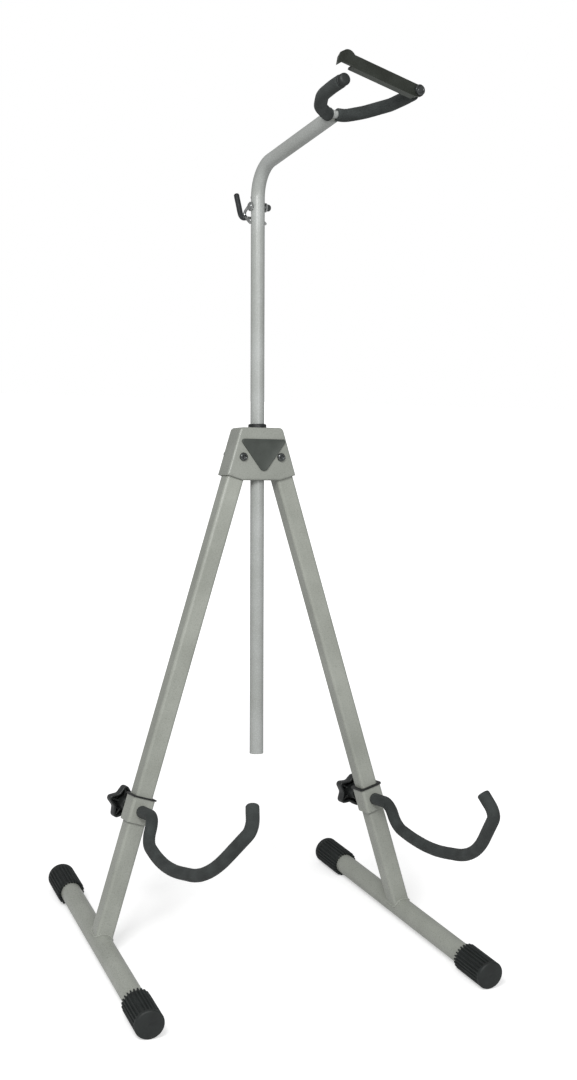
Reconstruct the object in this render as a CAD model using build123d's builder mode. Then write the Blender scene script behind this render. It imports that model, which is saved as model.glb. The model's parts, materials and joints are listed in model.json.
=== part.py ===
"""Folding floor stand for a double bass, with neck yoke, bow holder and two padded hooks."""

from build123d import *
import os
from math import atan, atan2, cos, degrees, radians, sin, tan

os.makedirs("parts", exist_ok=True)

# ---------------------------------------------------------------- driving dimensions (mm, degrees)
# Attitude of the A-frame
lean = 10.6  # the whole A-frame leans back from upright
half_angle = 17.1  # each leg from the mast, legs spread
pivot_half_span = 28.0  # leg pivot from the mast axis
leg_length = 673.0  # leg pivot to the axis of the foot tube

# Legs and feet
leg_side = 25.0
leg_wall = 1.5
leg_corner = 4.0
foot_diameter = 28.6
foot_wall = 1.5
foot_front = 231.0  # leg axis to the front end of the cap
foot_rear = 218.0
cap_diameter = 38.4
cap_length = 62.0
cap_floor = 6.0
cap_gap = 0.2
cap_rib_count = 24
cap_rib_depth = 1.0
cap_rib_width = 2.2
cap_rim = 6.0  # plain band at the closed end of a cap

# Mast: lower part, bend and forward arm
mast_diameter = 19.0
mast_wall = 1.5
mast_tail = 255.0  # height of the open lower end, along the mast
mast_corner = 1055.0  # where the arm axis meets the mast axis
mast_bend = 45.0
arm_reach = 210.0  # mast axis to the yoke rod, level with the A-frame
arm_rise = 8.7
arm_overhang = 7.0  # tube end past the yoke rod
mast_turn_rest = 3.0

# Neck yoke
yoke_rod_diameter = 10.0
yoke_rise = 6.0
yoke_root_width = 32.0  # half width at the shoulders
yoke_elbow_width = 48.2
left_wrist_width = 53.4
left_tip_width = 51.5
left_tip_depth = 118.5  # yoke rod at the arm to the face of the tip
right_wrist_width = 51.8
right_tip_width = 53.5
right_tip_depth = 117.0
foam_wall = 2.7
foam_gap = 0.3
tip_cap_diameter = 15.0
tip_cap_length = 10.0
fit_gap = 0.05  # pin in a hole

# Locking bar
bar_raise = 14.5  # rest angle above the line through the two tips
bar_web = 2.8
bar_top = 6.8
bar_bottom = 9.5
bar_end_radius = 7.4
bar_flange_depth = 9.5
bar_flange_start = 4.0
bar_head_radius = 10.2
closed_drop = 15.7  # tip below the pivot line when the bar is closed
jaw_depth = 7.9  # slot ceiling below the pivot line
jaw_finger = 6.4  # overhang of the finger past the slot
jaw_finger_drop = 14.4
bar_bolt_diameter = 6.0
bar_bolt_head = 13.0
bar_bolt_head_height = 4.0
bar_bolt_depth = 14.0
bar_washer_thickness = 1.5
face_gap = 0.1  # between flat faces that turn or slide on each other

# Bow holder
bow_height = 1004.0  # through bolt, along the mast
bow_wire = 4.0
bow_bracket_drop = 22.0
bow_bracket_reach = 22.0
bow_prong_half_span = 12.2
bow_prong_reach = 42.0
bow_prong_rise = 23.5  # tip above the through bolt
bow_prong_bend = 8.0
bow_sleeve_diameter = 6.4
bow_sleeve_end = 2.5  # closed end of a sleeve
sleeve_gap = 0.15
bow_bolt_diameter = 5.0
bow_eye_diameter = 12.5
bow_eye_thickness = 2.2
bow_head_diameter = 8.5
bow_head_height = 1.8
bow_nut_diameter = 9.4
bow_nut_length = 7.0

# Pivot housing
housing_above = 40.2  # top face above the pivots
housing_below = 30.3  # lower edge below the pivots, along each leg
housing_side = 14.9  # outer face of the side wall from the leg axis
housing_depth = 34.0
housing_wall = 2.0
housing_top_corner = 6.5
housing_edge = 3.0
pivot_bolt_diameter = 8.0
pivot_head_diameter = 11.5
pivot_head_height = 4.0
pivot_nut_flats = 13.0
pivot_nut_height = 6.5
pivot_sleeve_wall = 3.0
washer_diameter = 20.0
bush_collar_diameter = 24.0
bush_collar_height = 5.0
bush_neck_wall = 1.6
bush_skirt = 9.0
guide_width = 24.0
guide_height = 12.0
guide_lift = 3.0  # guide above the housing's lower edge
badge_half_width = 31.0
badge_drop = 42.0
badge_top = 24.5  # upper edge above the pivots
badge_thickness = 1.2
badge_corner = 4.0

# Sliding clamps, knobs and hooks
left_clamp_drop = 494.0  # clamp centre below the pivot, along the leg
right_clamp_drop = 504.0
clamp_length = 34.0
clamp_wall = 1.6
liner_wall = 1.2
liner_gap = 0.1
slide_gap = 0.2
liner_flange = 1.5
liner_flange_thickness = 2.0
boss_diameter = 15.0
boss_length = 8.0
stud_diameter = 8.0
knob_standoff = 10.0
knob_hub_diameter = 20.0
knob_hub_length = 16.0
knob_head_thickness = 16.0
knob_radius = 23.2  # over the rounded lobes
knob_lobes = 5
knob_turn = 41.5  # first lobe from the x direction of its stand
knob_valley = 16.0
knob_edge = 2.0
lock_height = 3.0  # mast lock above the pivots
hook_rod_diameter = 10.0
hook_neck = 60.0  # leg axis to the downward bend
hook_drop = 33.0
hook_belly = 51.0
hook_reach = 351.0
hook_tip_rise = 66.0

# ---------------------------------------------------------------- reference frames


def within(base, origin, x_dir, z_dir):
    """A plane whose origin and directions are given in the base plane's own coordinates."""
    x_axis = base.from_local_coords(Vector(*x_dir)) - base.origin
    z_axis = base.from_local_coords(Vector(*z_dir)) - base.origin
    return Plane(origin=base.from_local_coords(Vector(*origin)), x_dir=x_axis, z_dir=z_axis)


# stand: x to the right, y to the rear, z up along the mast; its origin is the floor point in line with the mast
stand = Plane(origin=(0, 0, 0), x_dir=(1, 0, 0), z_dir=(0, sin(radians(lean)), cos(radians(lean))))
foot_height = cap_diameter / 2 / cos(radians(lean))
pivot_height = foot_height + leg_length * cos(radians(half_angle))
foot_pitch = degrees(atan(tan(radians(lean)) / cos(radians(half_angle))))
forward = Axis(stand.origin, stand.y_dir * -1)
rearward = Axis(stand.origin, stand.y_dir)


def leg_frame(side):
    """Leg pivot; z runs up the leg and x stays in the A-frame."""
    x_dir = (cos(radians(half_angle)), 0, side * sin(radians(half_angle)))
    z_dir = (-side * sin(radians(half_angle)), 0, cos(radians(half_angle)))
    return within(stand, (side * pivot_half_span, 0, pivot_height), x_dir, z_dir)


def foot_frame(side):
    """Foot of the leg; z runs to the rear along the foot tube, level with the floor."""
    z_dir = (0, cos(radians(foot_pitch)), sin(radians(foot_pitch)))
    return within(leg_frame(side), (0, 0, -leg_length), (1, 0, 0), z_dir)


def clamp_frame(side):
    """Centre of the clamp, in line with the leg."""
    drop = left_clamp_drop if side < 0 else right_clamp_drop
    return within(leg_frame(side), (0, 0, -drop), (1, 0, 0), (0, 0, 1))


# mast: as the stand, turned about the mast axis
turn = radians(mast_turn_rest)
mast_base = within(stand, (0, 0, 0), (cos(turn), sin(turn), 0), (0, 0, 1))
mast_side = within(mast_base, (0, 0, 0), (0, -1, 0), (-1, 0, 0))  # x forward, y up
yoke_height = mast_corner + arm_reach * tan(radians(arm_rise))
yoke_tilt = radians(yoke_rise)
yoke_plane = within(mast_base, (0, -arm_reach, yoke_height), (1, 0, 0), (0, -sin(yoke_tilt), -cos(yoke_tilt)))
sides = (("left", -1), ("right", 1))
finished = []


def finish(builder, label):
    """Name a finished piece and keep it for export."""
    builder.part.label = label
    finished.append(builder.part)


# ---------------------------------------------------------------- legs
pivot_bore = pivot_bolt_diameter + 2 * fit_gap
for name, side in sides:
    frame = leg_frame(side)
    facing = within(frame, (0, 0, 0), (1, 0, 0), (0, -1, 0))
    with BuildPart() as leg:
        with BuildSketch(frame.offset(-leg_length)):
            RectangleRounded(leg_side, leg_side, leg_corner)
            RectangleRounded(
                leg_side - 2 * leg_wall, leg_side - 2 * leg_wall, leg_corner - leg_wall, mode=Mode.SUBTRACT
            )
        extrude(amount=leg_length + leg_side)
        with BuildSketch(facing):
            Circle(pivot_bore / 2 + pivot_sleeve_wall)
        extrude(amount=leg_side / 2 - leg_wall / 2, both=True)
        with BuildSketch(facing):
            Circle(leg_side / 2)
            with Locations((0, -leg_length / 2)):
                Rectangle(leg_side, leg_length)
        extrude(amount=leg_side, both=True, mode=Mode.INTERSECT)
        with BuildSketch(facing):
            Circle(pivot_bore / 2)
        extrude(amount=leg_side, both=True, mode=Mode.SUBTRACT)
        with BuildSketch(foot_frame(side)):
            Circle(foot_diameter / 2)
        extrude(amount=2 * leg_side, both=True, mode=Mode.SUBTRACT)
    finish(leg, f"leg_{name}")

# ---------------------------------------------------------------- foot tubes and ribbed rubber caps
for name, side in sides:
    frame = foot_frame(side)
    tube_front = foot_front - cap_floor
    tube_rear = foot_rear - cap_floor
    with BuildPart() as foot:
        with BuildSketch(frame.offset(-tube_front)):
            Circle(foot_diameter / 2)
            Circle(foot_diameter / 2 - foot_wall, mode=Mode.SUBTRACT)
        extrude(amount=tube_front + tube_rear)
    finish(foot, f"foot_tube_{name}")
    for end, reach, heading in (("front", foot_front, -1), ("rear", foot_rear, 1)):
        # the cap's own axis runs outward from its open mouth to its closed end
        mouth = within(frame, (0, 0, heading * (reach - cap_length)), (1, 0, 0), (0, 0, heading))
        with BuildPart() as cap:
            with BuildSketch(mouth):
                Circle(cap_diameter / 2)
            extrude(amount=cap_length)
            outward = Axis(mouth.origin, mouth.z_dir)
            chamfer(cap.edges().group_by(outward)[0], 1.5)
            fillet(cap.edges().group_by(outward)[-1], 1.5)
            with BuildSketch(mouth):
                Circle(foot_diameter / 2 + cap_gap)
            extrude(amount=cap_length - cap_floor, mode=Mode.SUBTRACT)
            with BuildSketch(mouth):
                start = 180 / cap_rib_count
                with PolarLocations(cap_diameter / 2, cap_rib_count, start_angle=start):
                    Rectangle(2 * cap_rib_depth, cap_rib_width)
            extrude(amount=cap_length - cap_rim, mode=Mode.SUBTRACT)
        finish(cap, f"foot_cap_{end}_{name}")

# ---------------------------------------------------------------- mast with its bend and arm
mast_corner_turn = 90 - arm_rise
arm_end = (
    arm_reach + arm_overhang * cos(radians(arm_rise)),
    yoke_height + arm_overhang * sin(radians(arm_rise)),
)
with BuildPart() as mast:
    with BuildLine(mast_side) as mast_path:
        FilletPolyline((0, mast_tail), (0, mast_corner), arm_end, radius=mast_bend)
    with BuildSketch(mast_base.offset(mast_tail)):
        Circle(mast_diameter / 2)
        Circle(mast_diameter / 2 - mast_wall, mode=Mode.SUBTRACT)
    sweep(path=mast_path.wires()[0])
    with BuildSketch(within(yoke_plane, (0, 0, 0), (0, 1, 0), (1, 0, 0))):
        Circle(yoke_rod_diameter / 2 + fit_gap)
    extrude(amount=mast_diameter, both=True, mode=Mode.SUBTRACT)
    with BuildSketch(within(mast_base, (0, 0, bow_height), (0, 1, 0), (1, 0, 0))):
        Circle(bow_bolt_diameter / 2 + fit_gap)
    extrude(amount=mast_diameter, both=True, mode=Mode.SUBTRACT)
finish(mast, "mast_tube")

# ---------------------------------------------------------------- neck yoke
tip_back = tip_cap_length / 2  # end of the rod behind the face of the left tip
bar_back = bar_bolt_head_height + face_gap  # bar behind the face of the right tip
seat_back = bar_back + bar_web + face_gap + bar_washer_thickness
foam_start = mast_diameter / 2 + 1.0
base_half = foam_start + 5.5
wrist = {-1: Vector(-left_wrist_width, 88, 0), 1: Vector(right_wrist_width, 82, 0)}
tip = {-1: Vector(-left_tip_width, left_tip_depth, 0), 1: Vector(right_tip_width, right_tip_depth, 0)}
heading = {side: (tip[side] - wrist[side]).normalized() for side in (-1, 1)}


def tip_plane(side, back):
    """Across an arm of the yoke, some way back from the face of its tip; z runs out of the tip."""
    origin = tip[side] - heading[side] * back
    return within(yoke_plane, tuple(origin), (heading[side].Y, -heading[side].X, 0), tuple(heading[side]))


def yoke_arm(side, back):
    """Half of the yoke path, from the arm of the mast to a tip or some way back from it."""
    end = tip[side] - heading[side] * back
    return [
        (side * base_half, 0),
        (side * yoke_root_width, 20.0),
        (side * yoke_elbow_width, 55.0),
        (wrist[side].X, wrist[side].Y),
        (end.X, end.Y),
    ]


yoke_radii = [10.0, 26.0, 38.0, 60.0]
with BuildPart() as yoke_rod:
    with BuildLine(yoke_plane) as yoke_path:
        FilletPolyline(
            *reversed(yoke_arm(-1, tip_back)),
            *yoke_arm(1, seat_back),
            radius=[*reversed(yoke_radii), *yoke_radii],
        )
    with BuildSketch(Plane(origin=yoke_path.wires()[0] @ 0, z_dir=yoke_path.wires()[0] % 0)):
        Circle(yoke_rod_diameter / 2)
    sweep(path=yoke_path.wires()[0])
    right_tip = tip_plane(1, seat_back)
    with BuildSketch(right_tip):
        Circle(bar_bolt_diameter / 2 + fit_gap)
    extrude(amount=-bar_bolt_depth, mode=Mode.SUBTRACT)
finish(yoke_rod, "yoke_rod")

foam_radius = yoke_rod_diameter / 2 + foam_gap + foam_wall
for name, side, back in (("left", -1, tip_cap_length + face_gap), ("right", 1, seat_back + 7.0)):
    with BuildPart() as foam:
        with BuildLine(yoke_plane) as foam_path:
            FilletPolyline((side * foam_start, 0), *yoke_arm(side, back), radius=yoke_radii)
        with BuildSketch(Plane(origin=foam_path.wires()[0] @ 0, z_dir=foam_path.wires()[0] % 0)):
            Circle(foam_radius)
            Circle(yoke_rod_diameter / 2 + foam_gap, mode=Mode.SUBTRACT)
        sweep(path=foam_path.wires()[0])
    finish(foam, f"yoke_foam_{name}")

left_tip = tip_plane(-1, tip_cap_length)
with BuildPart() as tip_cap:
    with BuildSketch(left_tip):
        Circle(tip_cap_diameter / 2)
    extrude(amount=tip_cap_length)
    fillet(tip_cap.edges().group_by(Axis(left_tip.origin, left_tip.z_dir))[-1], 3.0)
    with BuildSketch(left_tip):
        Circle(yoke_rod_diameter / 2 + foam_gap)
    extrude(amount=tip_cap_length / 2 + face_gap, mode=Mode.SUBTRACT)
finish(tip_cap, "yoke_tip_cap")

# ---------------------------------------------------------------- locking bar on its pivot bolt
raised = radians(bar_raise)
tip_span = (tip[1] - tip[-1]).length
jaw_centre = (tip_span**2 - closed_drop**2) ** 0.5
jaw_left = jaw_centre + tip_cap_diameter / 2 - 1.6
jaw_right = jaw_centre - tip_cap_diameter / 2 - 0.4
head_centre = jaw_centre - 1.4
finger_end = jaw_left + jaw_finger
# x runs along the bar from the pivot to the jaw, z runs to the rear along the right arm
pivot_face = tip_plane(1, bar_back)
bar_plane = within(pivot_face, (0, 0, 0), (-cos(raised), sin(raised), 0), (0, 0, -1))
with BuildPart() as bar:
    with BuildSketch(bar_plane):
        Circle(bar_end_radius)
        with BuildLine():
            Polyline(
                (0, bar_top),
                (0, -bar_end_radius),
                (bar_flange_start, -bar_bottom),
                (jaw_right, -bar_bottom),
                (jaw_right, -jaw_depth),
                (jaw_left, -jaw_depth),
                (finger_end, -jaw_finger_drop),
                (finger_end, -4.0),
                (head_centre + 1.1 * bar_head_radius, 0.35 * bar_head_radius),
                (head_centre + 0.6 * bar_head_radius, 0.8 * bar_head_radius),
                (head_centre, bar_top),
                close=True,
            )
        make_face()
        with Locations((head_centre, 0)):
            Circle(bar_head_radius)
        with BuildLine():
            Polyline(
                (jaw_right, -jaw_depth),
                (jaw_left, -jaw_depth),
                (finger_end, -jaw_finger_drop),
                (finger_end, -2 * jaw_finger_drop),
                (jaw_right, -2 * jaw_finger_drop),
                close=True,
            )
        make_face(mode=Mode.SUBTRACT)
    extrude(amount=bar_web)
    with BuildSketch(bar_plane):
        flange_length = jaw_right - bar_flange_start
        with Locations((bar_flange_start + flange_length / 2, -bar_bottom + bar_web / 2)):
            Rectangle(flange_length, bar_web)
    extrude(amount=bar_flange_depth)
    with BuildSketch(bar_plane):
        Circle(bar_bolt_diameter / 2 + fit_gap)
    extrude(amount=bar_web, mode=Mode.SUBTRACT)
finish(bar, "locking_bar")

bolt_plane = tip_plane(1, bar_bolt_head_height)
with BuildPart() as bar_bolt:
    with BuildSketch(bolt_plane):
        Circle(bar_bolt_head / 2)
    extrude(amount=bar_bolt_head_height)
    fillet(bar_bolt.edges().group_by(Axis(bolt_plane.origin, bolt_plane.z_dir))[-1], 1.2)
    with BuildSketch(bolt_plane.offset(bar_bolt_head_height)):
        RegularPolygon(2.5, 6)
    extrude(amount=-2.4, mode=Mode.SUBTRACT)
    with BuildSketch(bolt_plane):
        Circle(bar_bolt_diameter / 2)
    extrude(amount=-(seat_back - bar_bolt_head_height + bar_bolt_depth - 2.0))
finish(bar_bolt, "bar_bolt")

with BuildPart() as bar_washer:
    with BuildSketch(right_tip):
        Circle(bar_bolt_head / 2)
        Circle(bar_bolt_diameter / 2 + fit_gap, mode=Mode.SUBTRACT)
    extrude(amount=bar_washer_thickness)
finish(bar_washer, "bar_washer")

# ---------------------------------------------------------------- bow holder
bracket_offset = mast_diameter / 2 + face_gap + bow_wire / 2
eye_offset = bracket_offset - bow_wire / 2 + 0.5
apex_height = bow_height - 0.36 * bow_bracket_drop
loop_start = (bow_nut_diameter / 2 + 1.0, bow_height + 0.5)
loop_foot = bow_height - bow_bracket_drop
prong_back = mast_diameter / 2 + bow_wire
# the fork leaves the two loops behind the mast, drops a little and turns up into the prongs
prong_root = loop_foot + (apex_height - loop_foot) * prong_back / bow_bracket_reach
prong_knee = (bow_bracket_reach + 4.5, bow_height - 12.0)
prong_slope = (bow_prong_reach - prong_knee[0], bow_height + bow_prong_rise - prong_knee[1])
prong_length = (prong_slope[0] ** 2 + prong_slope[1] ** 2) ** 0.5
prong_turn = atan2(prong_slope[1], prong_slope[0]) - atan2(prong_knee[1] - prong_root, prong_knee[0] - prong_back)
sleeve_length = prong_length - bow_prong_bend * tan(prong_turn / 2) - 0.2


def prong_point(side, y, z):
    """Point of a prong, in the mast's own directions."""
    return mast_base.from_local_coords(Vector(side * bow_prong_half_span, y, z))


def prong_tip(side, cut):
    """Tip of a prong, shortened by a cut along its last straight run."""
    share = 1 - cut / prong_length
    return prong_point(side, prong_knee[0] + share * prong_slope[0], prong_knee[1] + share * prong_slope[1])


with BuildPart() as bow_bracket:
    # fork behind the mast that carries the two prongs
    with BuildLine() as fork_path:
        FilletPolyline(
            prong_tip(-1, bow_sleeve_end),
            prong_point(-1, *prong_knee),
            prong_point(-1, prong_back, prong_root),
            prong_point(1, prong_back, prong_root),
            prong_point(1, *prong_knee),
            prong_tip(1, bow_sleeve_end),
            radius=[bow_prong_bend, 4.0, 4.0, bow_prong_bend],
        )
    with BuildSketch(Plane(origin=fork_path.wires()[0] @ 0, z_dir=fork_path.wires()[0] % 0)):
        Circle(bow_wire / 2)
    sweep(path=fork_path.wires()[0])
    for side in (-1, 1):
        cheek = within(mast_base, (side * bracket_offset, 0, 0), (0, 1, 0), (1, 0, 0))
        with BuildLine(cheek) as loop_path:
            FilletPolyline(
                loop_start,
                (bow_bracket_reach, apex_height),
                (0, loop_foot),
                radius=5.0,
            )
        with BuildSketch(Plane(origin=loop_path.wires()[0] @ 0, z_dir=loop_path.wires()[0] % 0)):
            Circle(bow_wire / 2)
        sweep(path=loop_path.wires()[0])
        eye = within(mast_base, (side * eye_offset, 0, bow_height), (0, 1, 0), (side, 0, 0))
        with BuildSketch(eye):
            Circle(bow_eye_diameter / 2)
            Circle(bow_bolt_diameter / 2 + fit_gap, mode=Mode.SUBTRACT)
        extrude(amount=bow_eye_thickness)
finish(bow_bracket, "bow_bracket")

for name, side in sides:
    with BuildPart() as sleeve:
        along = prong_tip(side, 0) - prong_tip(side, sleeve_length)
        sleeve_plane = Plane(origin=prong_tip(side, sleeve_length), z_dir=along)
        with BuildSketch(sleeve_plane):
            Circle(bow_sleeve_diameter / 2)
        extrude(amount=sleeve_length)
        with BuildSketch(sleeve_plane):
            Circle(bow_wire / 2 + sleeve_gap)
        extrude(amount=sleeve_length - bow_sleeve_end + 0.5, mode=Mode.SUBTRACT)
    finish(sleeve, f"bow_sleeve_{name}")

bow_seat = eye_offset + bow_eye_thickness
with BuildPart() as bow_bolt:
    with BuildSketch(within(mast_base, (-bow_seat, 0, bow_height), (0, 1, 0), (1, 0, 0))):
        Circle(bow_bolt_diameter / 2)
    extrude(amount=2 * bow_seat + bow_nut_length - 2.0)
    with BuildSketch(within(mast_base, (-bow_seat, 0, bow_height), (0, 1, 0), (-1, 0, 0))):
        Circle(bow_head_diameter / 2)
    extrude(amount=bow_head_height)
finish(bow_bolt, "bow_bolt")

nut_plane = within(mast_base, (bow_seat, 0, bow_height), (0, 1, 0), (1, 0, 0))
with BuildPart() as bow_nut:
    with BuildSketch(nut_plane):
        Circle(bow_nut_diameter / 2)
    extrude(amount=bow_nut_length)
    fillet(bow_nut.edges().group_by(Axis(nut_plane.origin, nut_plane.z_dir))[-1], 3.5)
    with BuildSketch(nut_plane):
        Circle(bow_bolt_diameter / 2 + fit_gap)
    extrude(amount=bow_nut_length - 1.8, mode=Mode.SUBTRACT)
finish(bow_nut, "bow_nut")

# ---------------------------------------------------------------- pivot housing
front_y = -housing_depth / 2
front_plane = within(stand, (0, front_y, pivot_height), (1, 0, 0), (0, -1, 0))  # x right, y up, z forward
a = radians(half_angle)


def housing_outline(inset, drop):
    """Half outline of the housing, seen from the front, about the pivot line."""
    offset_side = housing_side - inset
    top = housing_above - inset
    top_x = pivot_half_span + offset_side / cos(a) - top * tan(a)
    low_x = pivot_half_span + offset_side * cos(a) + (housing_below + drop) * sin(a)
    low_z = offset_side * sin(a) - (housing_below + drop) * cos(a)
    mid_z = -(housing_below + drop) / cos(a)
    right = [(top_x, top), (low_x, low_z), (pivot_half_span, mid_z)]
    return right + [(-x, z) for x, z in reversed(right)]


bush_neck = mast_diameter / 2 + fit_gap + bush_neck_wall
with BuildPart() as shell:
    with BuildSketch(front_plane) as outline:
        with BuildLine():
            Polyline(*housing_outline(0, 0), close=True)
        make_face()
        fillet(outline.vertices().group_by(Axis.Y)[-1], housing_top_corner)
    extrude(amount=-(housing_depth - housing_wall))
    fillet(shell.edges().group_by(forward)[-1], housing_edge)
    with BuildSketch(front_plane.offset(-housing_wall)) as hollow:
        with BuildLine():
            Polyline(*housing_outline(housing_wall, housing_above), close=True)
        make_face()
        fillet(hollow.vertices().group_by(Axis.Y)[-1], housing_top_corner - housing_wall)
    extrude(amount=-housing_depth, mode=Mode.SUBTRACT)
    with BuildSketch(within(stand, (0, 0, pivot_height), (1, 0, 0), (0, 0, 1))):
        Circle(bush_neck + fit_gap)
    extrude(amount=housing_above + housing_wall, mode=Mode.SUBTRACT)
    with BuildSketch(front_plane):
        with Locations((-pivot_half_span, 0), (pivot_half_span, 0)):
            Circle(pivot_bore / 2)
    extrude(amount=-2 * housing_wall, mode=Mode.SUBTRACT)
finish(shell, "housing_shell")

back_plane = within(stand, (0, housing_depth / 2, pivot_height), (1, 0, 0), (0, -1, 0))
with BuildPart() as back:
    with BuildSketch(back_plane) as plate:
        with BuildLine():
            Polyline(*housing_outline(0, 0), close=True)
        make_face()
        fillet(plate.vertices().group_by(Axis.Y)[-1], housing_top_corner)
    extrude(amount=housing_wall)
    with BuildSketch(back_plane):
        with Locations((0, lock_height)):
            Circle(boss_diameter / 2)
    extrude(amount=-boss_length)
    with BuildSketch(back_plane.offset(housing_wall)):
        with Locations((-pivot_half_span, 0), (pivot_half_span, 0), (0, lock_height)):
            Circle(pivot_bore / 2)
    extrude(amount=-housing_wall - 2 * boss_length, mode=Mode.SUBTRACT)
finish(back, "housing_back")

with BuildPart() as badge:
    with BuildSketch(front_plane) as badge_face:
        with BuildLine():
            Polyline(
                (-badge_half_width, badge_top),
                (badge_half_width, badge_top),
                (0, badge_top - badge_drop - badge_corner),
                close=True,
            )
        make_face()
        fillet(badge_face.vertices(), badge_corner)
    extrude(amount=badge_thickness)
finish(badge, "badge")

collar_base = within(stand, (0, 0, pivot_height + housing_above), (1, 0, 0), (0, 0, 1))
with BuildPart() as bush:
    with BuildSketch(collar_base.offset(face_gap)):
        Circle(bush_collar_diameter / 2 + 0.5)
    extrude(amount=bush_collar_height)
    chamfer(bush.edges().group_by(Axis(stand.origin, stand.z_dir))[-1], 1.0)
    with BuildSketch(collar_base.offset(face_gap)):
        Circle(bush_neck)
    extrude(amount=-housing_wall - 2 * face_gap - bush_skirt)
    with BuildSketch(collar_base.offset(-housing_wall - face_gap)):
        Circle(bush_collar_diameter / 2)
    extrude(amount=-2.0)
    with BuildSketch(collar_base.offset(bush_collar_height + 1)):
        Circle(mast_diameter / 2 + fit_gap)
    extrude(amount=-bush_collar_height - bush_skirt - housing_wall - 5, mode=Mode.SUBTRACT)
finish(bush, "mast_bush")

guide_base = pivot_height - housing_below / cos(a) + guide_lift
inner_depth = housing_depth - 2 * housing_wall
with BuildPart() as guide:
    with BuildSketch(within(stand, (0, 0, guide_base), (1, 0, 0), (0, 0, 1))):
        RectangleRounded(guide_width, inner_depth, 2.0)
        Circle(mast_diameter / 2 + fit_gap, mode=Mode.SUBTRACT)
    extrude(amount=guide_height)
finish(guide, "mast_guide")

# pivot bolts, spacer washers and nuts: two of each bolt and nut, four washers
with BuildPart() as bolts:
    with BuildSketch(front_plane):
        with Locations((-pivot_half_span, 0), (pivot_half_span, 0)):
            Circle(pivot_head_diameter / 2)
    extrude(amount=pivot_head_height)
    fillet(bolts.edges().group_by(forward)[-1], 1.6)
    with BuildSketch(front_plane.offset(pivot_head_height)):
        with Locations((-pivot_half_span, 0), (pivot_half_span, 0)):
            RegularPolygon(2.9, 6)
    extrude(amount=-2.4, mode=Mode.SUBTRACT)
    with BuildSketch(front_plane):
        with Locations((-pivot_half_span, 0), (pivot_half_span, 0)):
            Circle(pivot_bolt_diameter / 2)
    extrude(amount=-housing_depth - pivot_nut_height - 1.5)
finish(bolts, "pivot_bolts")

with BuildPart() as nuts:
    with BuildSketch(back_plane):
        with Locations((-pivot_half_span, 0), (pivot_half_span, 0)):
            RegularPolygon(pivot_nut_flats / 2, 6, major_radius=False)
            Circle(pivot_bolt_diameter / 2 + fit_gap, mode=Mode.SUBTRACT)
    extrude(amount=-pivot_nut_height)
finish(nuts, "pivot_nuts")

washer_thickness = (inner_depth - leg_side) / 2 - face_gap
with BuildPart() as washers:
    for seat, heading in ((-housing_wall, -1), (-housing_depth + housing_wall, 1)):
        with BuildSketch(front_plane.offset(seat)):
            with Locations((-pivot_half_span, 0), (pivot_half_span, 0)):
                Circle(washer_diameter / 2)
                Circle(pivot_bore / 2, mode=Mode.SUBTRACT)
        extrude(amount=heading * washer_thickness)
finish(washers, "pivot_washers")

# ---------------------------------------------------------------- knobs with their studs


def star_points():
    """Corners of the knob, tip and valley in turn."""
    lobe_tip = knob_radius * 1.18
    points = []
    for lobe in range(knob_lobes):
        angle = 2 * radians(180) * lobe / knob_lobes + radians(knob_turn)
        half = radians(180) / knob_lobes
        points.append((lobe_tip * cos(angle), lobe_tip * sin(angle)))
        points.append((knob_valley * cos(angle + half), knob_valley * sin(angle + half)))
    return points


def make_knob(seat, label):
    """Star knob; the seat's z points out along the stud and its origin is the hub's inner end."""
    with BuildPart() as knob:
        with BuildSketch(seat):
            Circle(knob_hub_diameter / 2)
        extrude(amount=knob_hub_length)
        with BuildSketch(seat.offset(knob_hub_length)):
            with BuildLine():
                FilletPolyline(*star_points(), radius=5.0, close=True)
            make_face()
        extrude(amount=knob_head_thickness)
        outward = Axis(seat.origin, seat.z_dir)
        chamfer(knob.edges().group_by(outward)[-1], knob_edge)
        with BuildSketch(seat):
            Circle(stud_diameter / 2 + fit_gap)
        extrude(amount=knob_hub_length + 6.0, mode=Mode.SUBTRACT)
    finish(knob, label)


def make_stud(seat, inward, label):
    """Threaded stud from the knob to what it presses on."""
    with BuildPart() as stud:
        with BuildSketch(seat.offset(knob_hub_length + 5.0)):
            Circle(stud_diameter / 2)
        extrude(amount=-(knob_hub_length + 5.0 + inward))
        chamfer(stud.edges().group_by(Axis(seat.origin, seat.z_dir))[0], 0.8)
    finish(stud, label)


lock_seat_y = housing_depth / 2 + boss_length + knob_standoff
lock_seat = within(stand, (0, lock_seat_y, pivot_height + lock_height), (1, 0, 0), (0, 1, 0))
make_knob(lock_seat, "lock_knob")
make_stud(lock_seat, lock_seat_y - mast_diameter / 2 - foam_gap, "lock_stud")

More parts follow.
